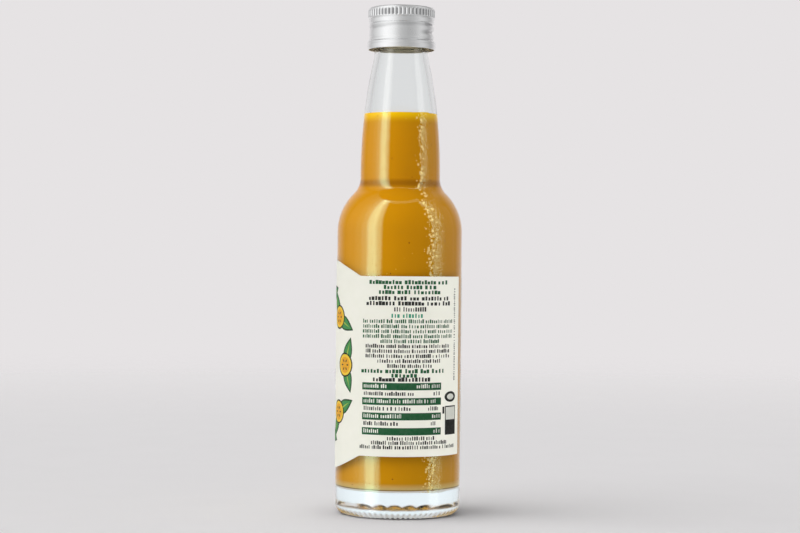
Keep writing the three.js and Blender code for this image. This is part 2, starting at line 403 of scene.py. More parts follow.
def passion_fruit_sauce():
    """Orange-yellow puree in slow clouds with flecks and a thin dark line above the floor, with painted light: a glow
    at the level, a pale lit floor and underside, painted shade in the waist and glints on bubbles.
    """
    material, tree, shader = finish("passion fruit sauce", Roughness=0.6, IOR=1.4, Specular_IOR_Level=0.15)
    clouds = noise(tree, (60, 60, 25), detail=4.0)
    shades = {"Factor": clouds, 6: colour("b87d00"), 7: colour("c48900")}
    shade = add(tree, "ShaderNodeMix", shades, data_type="RGBA").outputs[2]
    height = add(tree, "ShaderNodeSeparateXYZ", {0: spread(tree, (1, 1, 1))}).outputs[2]
    flat = add(tree, "ShaderNodeVectorMath", {0: spread(tree, (1, 1, 0))}, operation="LENGTH").outputs["Value"]
    # Painted glow: the top few millimetres of sauce are painted brighter, as if lit through its level.
    painted_level_glow = eased(tree, height, (SAUCE_LEVEL - 3.2) * MM, (SAUCE_LEVEL + 0.6) * MM)
    # Painted light: the sauce is painted paler just above the floor, as if lit from below.
    painted_floor_light = maths(tree, "SUBTRACT", 0.8, eased(tree, height, (FLOOR_HEIGHT + 0.8) * MM, (FLOOR_HEIGHT + 4) * MM))
    # A thin dark line drawn round the sauce just above the glass floor.
    from_dark_floor_line = maths(tree, "ABSOLUTE", maths(tree, "SUBTRACT", height, (FLOOR_HEIGHT + 0.85) * MM))
    dark_floor_line = maths(tree, "SUBTRACT", 0.8, eased(tree, from_dark_floor_line, 0.1 * MM, 0.3 * MM))
    # Painted light: the middle of the sauce's floor and its lowest ring are painted near white, as if lit from below
    # through the foot.
    middle = maths(tree, "SUBTRACT", 1, eased(tree, flat, (FLOOR_RING - 0.6) * MM, FLOOR_RING * MM))
    low = maths(tree, "LESS_THAN", height, (FLOOR_HEIGHT + 2) * MM)
    lit_lowest_ring = maths(tree, "SUBTRACT", 1, eased(tree, height, (FLOOR_HEIGHT + 0.5) * MM, (FLOOR_HEIGHT + 0.75) * MM))
    under = maths(tree, "MAXIMUM", maths(tree, "MULTIPLY", middle, low), lit_lowest_ring)
    # Painted shade: a darker band round the sauce at the waist.
    from_waist = maths(tree, "ABSOLUTE", maths(tree, "SUBTRACT", height, WAIST_HEIGHT * MM))
    painted_waist_shade = maths(tree, "SUBTRACT", 0.75, eased(tree, from_waist, 0.2 * MM, 2.6 * MM))
    layers = [(painted_level_glow, "eabc00"), (painted_floor_light, "d8bc78"), (dark_floor_line, "6a4a1c"), (under, "ece8e0"), (painted_waist_shade, "8a5600")]
    own = add(tree, "ShaderNodeSeparateXYZ", {0: spread(tree, (1, 1, 1))}).outputs
    # Pale bubble specks with painted glints: they are painted lighter, only in the band round the side where the right
    # highlight falls.
    side = maths(tree, "ARCTAN2", own[0], maths(tree, "MULTIPLY", own[1], -1))
    from_bubble_glints = maths(tree, "ABSOLUTE", maths(tree, "SUBTRACT", side, math.radians(BUBBLE_GLINTS_SIDE)))
    bubble_glints = maths(tree, "SUBTRACT", 1, eased(tree, from_bubble_glints, math.radians(3), math.radians(12)))
    specks = ((260, 0.06, "7a4410", 1.0), (330, 0.05, "dcae4e", 1.0), (900, 0.4, "e8c878", bubble_glints))
    for grain, reach, code, share in specks:
        cells = {"Vector": spread(tree, (grain, grain, grain)), "Scale": 1.0, "Randomness": 1.0}
        distance = add(tree, "ShaderNodeTexVoronoi", cells).outputs["Distance"]
        layers.append((maths(tree, "LESS_THAN", distance, maths(tree, "MULTIPLY", share, reach)), code))
    for place, code in layers:
        mixed = add(
            tree,
            "ShaderNodeMix",
            {"Factor": maths(tree, "MAXIMUM", place, 0), 6: shade, 7: colour(code)},
            data_type="RGBA",
        )
        shade = mixed.outputs[2]
    tree.links.new(shade, shader.inputs["Base Color"])
    bumped(tree, shader, noise(tree, (400, 400, 300)), 0.05)
    return material


sauce = turned("sauce_fill", sauce_outline(), 144)
sauce.data.materials.append(passion_fruit_sauce())
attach(sauce, "root")
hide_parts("sauce")

# Label. One strip of uncoated cream paper, glued round the body. It is cut straight over its back panel
# and flares up and down towards the front panel, which lies a quarter turn to the left.
PAPER_RADIUS = 20.4
PAPER_GLUE = 0.1
LABEL_BOTTOM = 20
LABEL_TOP = 77
FRONT_FLARE = 5.2
LABEL_END = 70
PANEL_CORNER = -37
FRONT_MIDDLE = -98.5
LABEL_STEP = 1.5


def flare_share(angle):
    """How far the label's edge has flared at an angle: 0 over the back panel, 1 over the front."""
    mirrored = math.radians(FRONT_MIDDLE + abs(angle - FRONT_MIDDLE))
    if mirrored < -math.pi / 2:
        return 1
    corner = math.sin(math.radians(PANEL_CORNER))
    return max(0, (corner - math.sin(mirrored)) / (corner + 1))


def label_strip():
    """The paper, with its cut edges, as a closed strip."""
    half = LABEL_END - FRONT_MIDDLE
    steps = 2 * math.ceil(half / LABEL_STEP)
    rows = 24
    shape = bmesh.new()
    loops = []
    for i in range(steps + 1):
        angle = FRONT_MIDDLE + half * (2 * i / steps - 1)
        flare = FRONT_FLARE * flare_share(angle)
        low = LABEL_BOTTOM - flare
        high = LABEL_TOP + flare
        out = [(PAPER_RADIUS, low + (high - low) * k / rows) for k in range(rows + 1)]
        back = [(BODY_RADIUS + PAPER_GLUE / 2, high), (BODY_RADIUS + PAPER_GLUE / 2, low)]
        turn = math.radians(angle)
        loops.append(
            [shape.verts.new((r * MM * math.sin(turn), -r * MM * math.cos(turn), h * MM)) for r, h in out + back]
        )
    for left, right in zip(loops, loops[1:]):
        for k in range(len(left)):
            following = (k + 1) % len(left)
            shape.faces.new([left[k], right[k], right[following], left[following]])
    shape.faces.new(loops[0])
    shape.faces.new(loops[-1][::-1])
    return smooth_piece("label_paper", shape)


def cream_paper():
    """Uncoated paper: faint fibres, a little mottling and a dry surface."""
    material, tree, shader = finish("cream label paper", Roughness=0.8, Specular_IOR_Level=0.25)
    mottle = noise(tree, (350, 350, 350), detail=5.0)
    shades = {"Factor": mottle, 6: colour("f3f3e6"), 7: colour("f9f8ed")}
    tree.links.new(add(tree, "ShaderNodeMix", shades, data_type="RGBA").outputs[2], shader.inputs["Base Color"])
    bumped(tree, shader, noise(tree, (1800, 1800, 900), detail=3.0), 0.015)
    return material


label = label_strip()
label.data.materials.append(cream_paper())
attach(label, "root")
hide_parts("label")

# Print on the back panel. Rows of small type in green and black, here as plain upright strokes, a table
# with green bars, and small marks at the right edge. It is ink, screened onto the paper in a thin layer.
INK_THICKNESS = 0.024
PRINT_STEP = 0.7


def ink(name, code):
    """Printing ink in one colour, slightly uneven where the paper takes it up."""
    material, tree, shader = finish(name, Roughness=0.6, Specular_IOR_Level=0.12)
    base = colour(code)
    worn = [0.94 * c + 0.06 * p for c, p in zip(base, colour("f4f4e8"))]
    shades = {"Factor": noise(tree, (900, 900, 900), detail=3.0), 6: base, 7: worn}
    tree.links.new(add(tree, "ShaderNodeMix", shades, data_type="RGBA").outputs[2], shader.inputs["Base Color"])
    return material


def wrapped(along, height, lift=0.0):
    """The place on the label of a point that lies along the paper, at a height and a lift off the paper."""
    angle = along / PAPER_RADIUS
    radius = (PAPER_RADIUS + lift) * MM
    return radius * math.sin(angle), -radius * math.cos(angle), height * MM


def printed(name, outlines, material, layer=1):
    """Ink inside flat outlines, given along the paper and upwards. Each layer lies on the one before it."""
    flat = bmesh.new()
    for outline in outlines:
        flat.faces.new([flat.verts.new((along, height, 0)) for along, height in outline])
    bmesh.ops.recalc_face_normals(flat, faces=flat.faces)
    for face in flat.faces:
        if face.normal.z < 0:
            face.normal_flip()
    first = math.floor(min(v.co.x for v in flat.verts) / PRINT_STEP) + 1
    last = math.ceil(max(v.co.x for v in flat.verts) / PRINT_STEP)
    for cut in range(first, last):
        everything = flat.verts[:] + flat.edges[:] + flat.faces[:]
        bmesh.ops.bisect_plane(flat, geom=everything, plane_co=(cut * PRINT_STEP, 0, 0), plane_no=(1, 0, 0))
    shape = bmesh.new()
    under = {}
    over = {}
    for vert in flat.verts:
        under[vert] = shape.verts.new(wrapped(vert.co.x, vert.co.y, -INK_THICKNESS / 2))
        over[vert] = shape.verts.new(wrapped(vert.co.x, vert.co.y, layer * INK_THICKNESS / 2))
    for face in flat.faces:
        shape.faces.new([over[v] for v in face.verts])
        shape.faces.new([under[v] for v in reversed(face.verts)])
        for loop in face.loops:
            if len(loop.edge.link_faces) == 1:
                start = loop.vert
                end = loop.link_loop_next.vert
                shape.faces.new([under[start], under[end], over[end], over[start]])
    flat.free()
    bmesh.ops.triangulate(shape, faces=[f for f in shape.faces if len(f.verts) > 4])
    piece = smooth_piece(name, shape)
    piece.data.materials.append(material)
    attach(piece, "root")
    return piece


def lettering():
    """A tree that sets upright strokes of uneven width and height along words, and wraps all round the bottle."""
    sizes = ["Paper radius", "Stroke height", "Stroke width", "Stroke step", "Thickness", "Seed"]
    tree, given = shaping("rows of small type", sizes)
    rows = add(tree, "GeometryNodeMeshToCurve", {0: given["Geometry"]}).outputs[0]
    set_out = add(tree, "GeometryNodeCurveToPoints", {"Curve": rows, "Length": given["Stroke step"]}, mode="LENGTH")
    size = {0: given["Stroke width"], 1: given["Stroke height"], 2: given["Thickness"]}
    stroke = add(tree, "GeometryNodeMeshCube", {"Size": add(tree, "ShaderNodeCombineXYZ", size).outputs[0]})
    raise_by = {0: 0.0, 1: maths(tree, "MULTIPLY", given["Stroke height"], 0.5), 2: 0.0}
    standing = add(
        tree,
        "GeometryNodeTransform",
        {"Geometry": stroke.outputs[0], "Translation": add(tree, "ShaderNodeCombineXYZ", raise_by).outputs[0]},
    )
    turn = add(tree, "FunctionNodeAlignRotationToVector", {"Vector": set_out.outputs["Tangent"]}, axis="X")
    other_seed = maths(tree, "ADD", given["Seed"], 1)
    wide = add(tree, "FunctionNodeRandomValue", {2: 0.6, 3: 1.35, 8: given["Seed"]}, data_type="FLOAT").outputs[1]
    tall = add(tree, "FunctionNodeRandomValue", {2: 0.75, 3: 1.15, 8: other_seed}, data_type="FLOAT").outputs[1]
    scale = add(tree, "ShaderNodeCombineXYZ", {0: wide, 1: tall, 2: 1.0}).outputs[0]
    strokes = add(
        tree,
        "GeometryNodeInstanceOnPoints",
        {"Points": set_out.outputs["Points"], "Instance": standing.outputs[0], "Rotation": turn.outputs[0], "Scale": scale},
    )
    flat = add(tree, "GeometryNodeRealizeInstances", {0: strokes.outputs[0]}).outputs[0]
    place = add(tree, "GeometryNodeInputPosition", {}).outputs[0]
    along, up, lift = add(tree, "ShaderNodeSeparateXYZ", {0: place}).outputs
    angle = maths(tree, "DIVIDE", along, given["Paper radius"])
    radius = maths(tree, "ADD", lift, given["Paper radius"])
    across = maths(tree, "MULTIPLY", radius, maths(tree, "SINE", angle))
    away = maths(tree, "MULTIPLY", maths(tree, "MULTIPLY", radius, maths(tree, "COSINE", angle)), -1)
    bent = add(tree, "ShaderNodeCombineXYZ", {0: across, 1: away, 2: up}).outputs[0]
    end_shaping(tree, add(tree, "GeometryNodeSetPosition", {"Geometry": flat, "Position": bent}).outputs[0], given)
    return tree


type_tree = lettering()


def words(row, step, chance):
    """Splits a row into words of two to nine strokes, with a space between them."""
    start = row[:2]
    length = math.dist(start, row[2:])
    way = [(b - a) / length for a, b in zip(start, row[2:])]
    found = []
    reached = 0
    while reached < length - step:
        end = min(length, reached + step * chance.randint(2, 9))
        found.append([[a + w * reach for a, w in zip(start, way)] for reach in (reached, end)])
        reached = end + step * 1.7
    return found


def typeset(name, rows, material, height, width, step, seed):
    """Small type along rows, each from one place to another: (along, height, along, height)."""
    mesh = bpy.data.meshes.new(name)
    chance = random.Random(seed)
    ends = []
    for row in rows:
        for word in words(row, step, chance):
            ends += [(along * MM, up * MM, 0) for along, up in word]
    mesh.from_pydata(ends, [(i, i + 1) for i in range(0, len(ends), 2)], [])
    blank = bpy.data.objects.new(name, mesh)
    bpy.context.scene.collection.objects.link(blank)
    sizes = {
        "Paper radius": PAPER_RADIUS * MM,
        "Stroke height": height * MM,
        "Stroke width": width * MM,
        "Stroke step": step * MM,
        "Thickness": INK_THICKNESS * MM,
        "Seed": seed,
    }
    piece = shaped(blank, type_tree, material, sizes)
    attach(piece, "root")
    return piece


def centred_rows(first_height, pitch, middle, widths):
    """Rows of type under each other, centred on one place along the paper."""
    rows = []
    for i, width in enumerate(widths):
        height = first_height - pitch * i
        rows.append((middle - width / 2, height, middle + width / 2, height))
    return rows


def box_outline(left, bottom, width, height):
    """A flat rectangle."""
    return [(left, bottom), (left + width, bottom), (left + width, bottom + height), (left, bottom + height)]


def oval_outline(along, height, half_width, half_height, steps=28, turn=0.0):
    """A flat oval, turned about its middle."""
    points = []
    for i in range(steps):
        angle = 2 * math.pi * i / steps
        x = half_width * math.cos(angle)
        y = half_height * math.sin(angle)
        points.append(
            (along + x * math.cos(turn) - y * math.sin(turn), height + x * math.sin(turn) + y * math.cos(turn))
        )
    return points


TEXT_MIDDLE = 3.75
TABLE_LEFT = -12.1
TABLE_WIDTH = 27
TABLE_TOP = 43.4
TABLE_ROW = 2.37
deep_green = ink("deep green ink", "04592f")
black_ink = ink("black ink", "1d1f1c")
mint_ink = ink("mint green ink", "2f9c78")
paper_white = ink("white ink", "f4f6ec")

green_titles = centred_rows(74.5, 1.56, TEXT_MIDDLE, [26.2, 16.5, 19.8])
table_titles = centred_rows(46.4, 1.35, 1.8, [27.6, 7.3])
typeset("green_titles", green_titles + table_titles, deep_green, 1.2, 0.8, 1.08, 11)
black_titles = centred_rows(69.4, 1.6, TEXT_MIDDLE + 0.2, [27, 28.6])
table_unit = centred_rows(43.75, 1.5, 1.8, [19.5])
typeset("black_titles", black_titles + table_unit, black_ink, 1.2, 0.8, 1.08, 23)
typeset("weight_row", centred_rows(65.9, 1.5, TEXT_MIDDLE, [10.1]), black_ink, 1.3, 0.45, 0.78, 31)
typeset("list_heading", centred_rows(63.9, 1.5, TEXT_MIDDLE, [11.7]), mint_ink, 1.25, 0.6, 0.98, 43)
green_text = centred_rows(62.2, 1.575, TEXT_MIDDLE + 0.3, [31.7, 31.7, 31.7, 31.7, 19.4])
typeset("green_text", green_text, deep_green, 1.1, 0.42, 0.66, 57)
black_text = centred_rows(54.35, 1.56, TEXT_MIDDLE, [29, 29, 29, 20.8, 14.1])
storage_text = centred_rows(25.2, 1.4, TEXT_MIDDLE + 0.6, [15.2, 25.8, 34.1])
typeset("black_text", black_text + storage_text, black_ink, 1.1, 0.42, 0.66, 61)

bars = [box_outline(TABLE_LEFT, TABLE_TOP - TABLE_ROW * (2 * i + 1), TABLE_WIDTH, 2.29) for i in range(4)]
printed("table_bars", bars, deep_green)
white_rows = []
dark_rows = []
for i, (entry, amount) in enumerate([(9, 8), (16, 2), (21, 3), (15, 4), (12, 2.5), (11, 3), (5, 2)]):
    base = TABLE_TOP - TABLE_ROW * (i + 1) + 0.65
    pair = [
        (TABLE_LEFT + 0.8, base, TABLE_LEFT + 0.8 + entry, base),
        (TABLE_LEFT + TABLE_WIDTH - 0.8 - amount, base, TABLE_LEFT + TABLE_WIDTH - 0.8, base),
    ]
    if i % 2 == 0:
        white_rows += pair
    else:
        dark_rows += pair
typeset("table_white_type", white_rows, paper_white, 1.15, 0.42, 0.68, 71)
typeset("table_dark_type", dark_rows, black_ink, 1.15, 0.42, 0.68, 83)
typeset("edge_note", [(22, 44, 22, 73)], black_ink, 0.8, 0.28, 0.5, 97)

printed("round_mark", [oval_outline(19.5, 38.7, 3.0, 1.7)], black_ink)
printed("round_mark_middle", [oval_outline(19.5, 38.7, 1.8, 0.95)], paper_white, 2)
printed("sorting_mark", [box_outline(16.8, 26.6, 5.7, 9.2)], black_ink)
printed("sorting_mark_window", [box_outline(17.2, 31.4, 4.9, 4.0)], paper_white, 2)
printed("small_mark", [box_outline(15.6, 33.4, 0.9, 2.2)], black_ink)

# Print on the front panel. A wreath of cut passion fruit and leaves round a bare oval, in flat greens and
# yellows with dark edges, printed in several layers of ink.
WREATH_MIDDLE = math.radians(FRONT_MIDDLE) * PAPER_RADIUS
WREATH_HEIGHT = 48.5
WREATH_HALF_WIDTH = 14.8
WREATH_HALF_HEIGHT = 21.5
FRUIT_COUNT = 8
FRUIT_RADIUS = 3.9
LEAF_LENGTH = 8.5
LEAF_WIDTH = 3.6


def leaf_outline(along, height, length, width, turn):
    """A pointed leaf that starts at a place and points along a turn."""
    points = []
    for side in (1, -1):
        for i in range(9):
            share = i / 8 if side > 0 else 1 - i / 8
            if side < 0 and i in (0, 8):
                continue
            x = length * share
            y = side * width / 2 * math.sin(math.pi * share**0.8)
            points.append(
                (along + x * math.cos(turn) - y * math.sin(turn), height + x * math.sin(turn) + y * math.cos(turn))
            )
    return points


fruit_edges = []
fruit_rinds = []
fruit_pulps = []
fruit_seeds = []
leaf_edges = []
leaf_greens = []
leaf_ribs = []
for i in range(FRUIT_COUNT):
    around = 2 * math.pi * i / FRUIT_COUNT
    along = WREATH_MIDDLE + WREATH_HALF_WIDTH * math.cos(around)
    height = WREATH_HEIGHT + WREATH_HALF_HEIGHT * math.sin(around)
    for swing in (0.95, -0.95):
        turn = around + math.pi / 2 * (1 if swing > 0 else -1) - swing * 0.35
        leaf_edges.append(leaf_outline(along, height, LEAF_LENGTH + 0.9, LEAF_WIDTH + 0.9, turn))
        leaf_greens.append(leaf_outline(along, height, LEAF_LENGTH, LEAF_WIDTH, turn))
        leaf_ribs.append(leaf_outline(along, height, LEAF_LENGTH - 1, 0.5, turn))
    fruit_edges.append(oval_outline(along, height, FRUIT_RADIUS, FRUIT_RADIUS))
    fruit_rinds.append(oval_outline(along, height, FRUIT_RADIUS - 0.5, FRUIT_RADIUS - 0.5))
    fruit_pulps.append(oval_outline(along, height, FRUIT_RADIUS - 1.3, FRUIT_RADIUS - 1.3))
    for k in range(6):
        seed_turn = math.pi * k / 3
        seed_along = along + 1.45 * math.cos(seed_turn)
        seed_height = height + 1.45 * math.sin(seed_turn)
        fruit_seeds.append(oval_outline(seed_along, seed_height, 0.5, 0.26, 10, seed_turn))
dark_green = ink("dark green ink", "1f4a26")
leaf_green = ink("leaf green ink", "3f9150")
lime_ink = ink("lime green ink", "a9c04a")
yellow_ink = ink("yellow ink", "f2cb3a")
orange_ink = ink("orange ink", "e8a826")
printed("leaf_edges", leaf_edges, dark_green)
printed("leaf_blades", leaf_greens, leaf_green, 2)
printed("leaf_ribs", leaf_ribs, lime_ink, 3)
printed("fruit_edges", fruit_edges, black_ink, 3)
printed("fruit_rinds", fruit_rinds, yellow_ink, 4)
printed("fruit_pulps", fruit_pulps, orange_ink, 5)
printed("fruit_seeds", fruit_seeds, black_ink, 6)

# Cap. A shell of thin aluminium, rolled onto the glass thread: a ribbed top for the grip, a band that
# shows the thread's grooves, and a plain skirt. Its inside has a gold lacquer.
RIM_HEIGHT = 150.5
RIM_RADIUS = 10.95
SKIRT_RADIUS = 11.2
SKIRT_BOTTOM = 151.9
SKIRT_TOP = 152.8
BAND_RADIUS = 10.55
BAND_BOTTOM = 153.7
BAND_TOP = 158.5
BEAD_RADIUS = 10.65
BEAD_BOTTOM = 159.05
BEAD_TOP = 160.2
KNURL_RADIUS = 10.85
KNURL_BOTTOM = 160.75
KNURL_TOP = 163.3
KNURL_DEPTH = 0.3
KNURL_RIBS = 52
FIRST_RIB = -0.8 + 180 / KNURL_RIBS
THREAD_PITCH = 2.65
THREAD_HEIGHT = 158.7
THREAD_DEPTH = 0.7
CAP_TOP = 164.1
CAP_EDGE = 0.9
CAP_SHEET = 0.35
CAP_ROOF = 162.4
CAP_SEGMENTS = 10 * KNURL_RIBS


def rounded_outline(corners):
    """An outline whose corners, (radius, height, rounding), are eased into short curves."""
    points = []
    for i, (radius, height, rounding) in enumerate(corners):
        if rounding == 0:
            points.append((radius, height))
            continue
        ends = []
        for other in (corners[i - 1], corners[i + 1]):
            reach = math.hypot(other[0] - radius, other[1] - height)
            share = min(rounding / reach, 0.49)
            ends.append((radius + (other[0] - radius) * share, height + (other[1] - height) * share))
        for k in range(5):
            t = k / 4
            weights = ((1 - t) ** 2, 2 * t * (1 - t), t**2)
            spots = (ends[0], (radius, height), ends[1])
            points.append(tuple(sum(w * s[axis] for w, s in zip(weights, spots)) for axis in (0, 1)))
    return points


def with_steps(outline, longest):
    """The same outline with extra points on its long stretches, except those that end on the axis."""
    points = [outline[0]]
    for start, end in zip(outline, outline[1:]):
        on_axis = min(start[0], end[0]) == 0
        count = 1 if on_axis else math.ceil(math.dist(start, end) / longest)
        for k in range(1, count + 1):
            points.append(tuple(a + (b - a) * k / count for a, b in zip(start, end)))
    return points


def cap_outline():
    """The cap's section: its lining from the roof down to the rim, then its outer face up to the top."""
    lining = BAND_RADIUS - THREAD_DEPTH - CAP_SHEET
    inner = [
        (0, CAP_ROOF, 0),
        (lining, CAP_ROOF, 0.3),
        (lining, BAND_BOTTOM + CAP_SHEET, 0.3),
        (SKIRT_RADIUS - CAP_SHEET, SKIRT_TOP, 0.2),
        (RIM_RADIUS - CAP_SHEET, RIM_HEIGHT, 0.1),
    ]
    outer = [
        (RIM_RADIUS, RIM_HEIGHT, 0.12),
        (SKIRT_RADIUS, SKIRT_BOTTOM, 0.5),
        (SKIRT_RADIUS - 0.22, SKIRT_BOTTOM + 0.4, 0.12),
        (SKIRT_RADIUS, SKIRT_TOP, 0.2),
        (BAND_RADIUS + 0.1, SKIRT_TOP + 0.45, 0.12),
        (BAND_RADIUS + 0.2, BAND_BOTTOM, 0.2),
        (BAND_RADIUS, BAND_BOTTOM + 0.5, 0.3),
        (BAND_RADIUS, BAND_TOP, 0.1),
        (BAND_RADIUS - 0.25, (BAND_TOP + BEAD_BOTTOM) / 2, 0.08),
        (BEAD_RADIUS, BEAD_BOTTOM, 0.3),
        (BEAD_RADIUS, BEAD_TOP, 0.3),
        (BAND_RADIUS - 0.1, (BEAD_TOP + KNURL_BOTTOM) / 2, 0.15),
        (KNURL_RADIUS, KNURL_BOTTOM, 0.15),
        (KNURL_RADIUS, CAP_TOP, CAP_EDGE),
        (0, CAP_TOP, 0),
    ]
    return with_steps(rounded_outline(inner + outer), 0.35)


def rolled_cap():
    """A tree that presses the grip's ribs and the thread's slanting grooves into the turned cap."""
    sizes = ["Ribs", "Rib depth", "First rib", "Grip bottom", "Grip top", "Inner radius"]
    sizes += ["Thread depth", "Thread pitch", "Thread height", "Band bottom", "Band top", "Upper turn"]
    tree, given = shaping("rolled cap", sizes)
    position, radius, angle, height = polar(tree)
    outer = maths(tree, "GREATER_THAN", radius, given["Inner radius"])

    grip_rise = eased(tree, height, given["Grip bottom"], maths(tree, "ADD", given["Grip bottom"], 0.35 * MM))
    grip_fall = eased(tree, height, maths(tree, "SUBTRACT", given["Grip top"], 0.35 * MM), given["Grip top"])
    in_grip = maths(tree, "MULTIPLY", grip_rise, maths(tree, "SUBTRACT", 1, grip_fall))
    ribs = maths(tree, "MULTIPLY", furrows(tree, angle, given["Ribs"], given["First rib"]), in_grip)
    rib_depth = maths(tree, "MULTIPLY", ribs, given["Rib depth"])

    turns = maths(tree, "DIVIDE", maths(tree, "SUBTRACT", angle, math.pi / 2), 2 * math.pi)
    climb = maths(tree, "MULTIPLY_ADD", turns, given["Thread pitch"], given["Thread height"])
    half_pitch = maths(tree, "MULTIPLY", given["Thread pitch"], 0.5)
    from_groove = maths(tree, "PINGPONG", maths(tree, "SUBTRACT", height, climb), half_pitch)
    groove = maths(tree, "SUBTRACT", 1, eased(tree, from_groove, 0, maths(tree, "MULTIPLY", half_pitch, 0.75)))
    band_rise = eased(tree, height, given["Band bottom"], maths(tree, "ADD", given["Band bottom"], 0.4 * MM))
    band_fall = eased(tree, height, maths(tree, "SUBTRACT", given["Band top"], 0.3 * MM), given["Band top"])
    in_band = maths(tree, "MULTIPLY", band_rise, maths(tree, "SUBTRACT", 1, band_fall))
    right = eased(tree, angle, math.radians(25), math.radians(75))
    left = maths(tree, "SUBTRACT", 1, eased(tree, angle, math.radians(-160), math.radians(-110)))
    upper = maths(tree, "MULTIPLY", maths(tree, "GREATER_THAN", height, given["Upper turn"]), 0.4)
    strength = maths(tree, "MAXIMUM", maths(tree, "MAXIMUM", right, left), upper)
    thread = maths(tree, "MULTIPLY", maths(tree, "MULTIPLY", groove, in_band), strength)
    thread_depth = maths(tree, "MULTIPLY", thread, given["Thread depth"])

    depth = maths(tree, "MULTIPLY", maths(tree, "ADD", rib_depth, thread_depth), outer)
    # Painted shade: the ribs' valleys and the thread grooves are stored as 'hollow', which the aluminium paints dark.
    thread_shade = maths(tree, "MULTIPLY", thread, 0.65)
    groove_shade = maths(tree, "MULTIPLY", maths(tree, "ADD", maths(tree, "POWER", ribs, 3), thread_shade), outer)
    marked = add(
        tree,
        "GeometryNodeStoreNamedAttribute",
        {"Geometry": given["Geometry"], "Name": "hollow", "Value": groove_shade},
        data_type="FLOAT",
        domain="POINT",
    )
    end_shaping(tree, pressed(tree, marked.outputs[0], position, radius, depth), given)
    return tree


def rolled_aluminium():
    """Satin aluminium with fine lines round the axis from rolling, a few dull patches and painted shade in the grooves.
    """
    material, tree, shader = finish("rolled aluminium", Metallic=1.0)
    lines = noise(tree, (15, 15, 5200), detail=3.0, rough=0.7)
    shades = {"Factor": lines, 6: (0.80, 0.805, 0.81, 1), 7: (0.90, 0.905, 0.91, 1)}
    sheet = add(tree, "ShaderNodeMix", shades, data_type="RGBA").outputs[2]
    # Painted shade: the stored hollows darken the metal's colour.
    hollow = add(tree, "ShaderNodeAttribute", {}, attribute_name="hollow").outputs["Fac"]
    shaded_sheet = {"Factor": hollow, 6: sheet, 7: (0.16, 0.16, 0.165, 1)}
    tree.links.new(add(tree, "ShaderNodeMix", shaded_sheet, data_type="RGBA").outputs[2], shader.inputs["Base Color"])
    patches = noise(tree, (190, 190, 190), detail=3.0)
    tree.links.new(span(tree, patches, 0.22, 0.36), shader.inputs["Roughness"])
    bumped(tree, shader, lines, 0.006)
    return material


def gold_lacquer():
    """The olive-gold lacquer inside the cap."""
    material, tree, shader = finish("gold cap lacquer", Metallic=0.25, Roughness=0.5)
    shades = {"Factor": noise(tree, (220, 220, 220)), 6: colour("b8a78c"), 7: colour("c9b89e")}
    tree.links.new(add(tree, "ShaderNodeMix", shades, data_type="RGBA").outputs[2], shader.inputs["Base Color"])
    return material


cap = shaped(
    turned("aluminium_cap", cap_outline(), CAP_SEGMENTS),
    rolled_cap(),
    rolled_aluminium(),
    {
        "Ribs": KNURL_RIBS,
        "Rib depth": KNURL_DEPTH * MM,
        "First rib": math.radians(FIRST_RIB),
        "Grip bottom": KNURL_BOTTOM * MM,
        "Grip top": KNURL_TOP * MM,
        "Inner radius": (BAND_RADIUS - 0.2) * MM,
        "Thread depth": THREAD_DEPTH * MM,
        "Thread pitch": THREAD_PITCH * MM,
        "Thread height": THREAD_HEIGHT * MM,
        "Band bottom": (BAND_BOTTOM - 0.5) * MM,
        "Band top": (BAND_TOP + 0.3) * MM,
        "Upper turn": (BAND_TOP - 1.9) * MM,
    },
)
cap.data.materials.append(gold_lacquer())
cap_heights = [height for radius, height in cap_outline()]
lining_faces = cap_heights.index(min(cap_heights)) * CAP_SEGMENTS
for face in cap.data.polygons[:lining_faces]:
    face.material_index = 1
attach(cap, "root")
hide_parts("cap")

# Floor. A wide pale board that fades into the backdrop, so that no edge or horizon shows.
FLOOR_RADIUS = 1500
FLOOR_SOLID = 200
FLOOR_GONE = 1200
FLOOR_DROP = 0.02


def pale_board():
    """Matt pale board, clear at its outside."""
    material, tree, shader = finish("pale board", Roughness=0.9, Specular_IOR_Level=0.1)
    shades = {"Factor": noise(tree, (40, 40, 40), detail=4.0), 6: colour("f6f4f5"), 7: colour("f9f7f8")}
    tree.links.new(add(tree, "ShaderNodeMix", shades, data_type="RGBA").outputs[2], shader.inputs["Base Color"])
    flat = add(tree, "ShaderNodeVectorMath", {0: spread(tree, (1, 1, 0))}, operation="LENGTH").outputs["Value"]
    gone = eased(tree, flat, FLOOR_SOLID * MM, FLOOR_GONE * MM)
    clear = add(tree, "ShaderNodeBsdfTransparent", {}).outputs[0]
    mixed = add(tree, "ShaderNodeMixShader", {0: gone, 1: shader.outputs[0], 2: clear}).outputs[0]
    tree.links.new(mixed, tree.nodes["Material Output"].inputs["Surface"])
    return material


floor_disc = bmesh.new()
bmesh.ops.create_circle(floor_disc, cap_ends=True, segments=96, radius=FLOOR_RADIUS * MM)
bmesh.ops.translate(floor_disc, verts=floor_disc.verts, vec=(0, 0, -FLOOR_DROP * MM))
floor = smooth_piece("floor", floor_disc)
floor.data.materials.append(pale_board())
floor.visible_glossy = False
floor.visible_transmission = False
floor.visible_shadow = False

# Light. Two tall softboxes in front show as long highlights in the glass, and a pale tent gives the cap a
# softer shine. Far lights that show in no reflection light the matt surfaces. The studio is darker in front.
BACKDROP = "e6e3e4"
LAMP_DISTANCE = 700
LAMP_CENTRE = 100
LAMP_STEP = 4


def group_of(name, pieces):
    """A named set of pieces, for a lamp that lights nothing else."""
    group = bpy.data.collections.new(name)
    for piece in pieces:
        group.objects.link(piece)
    return group


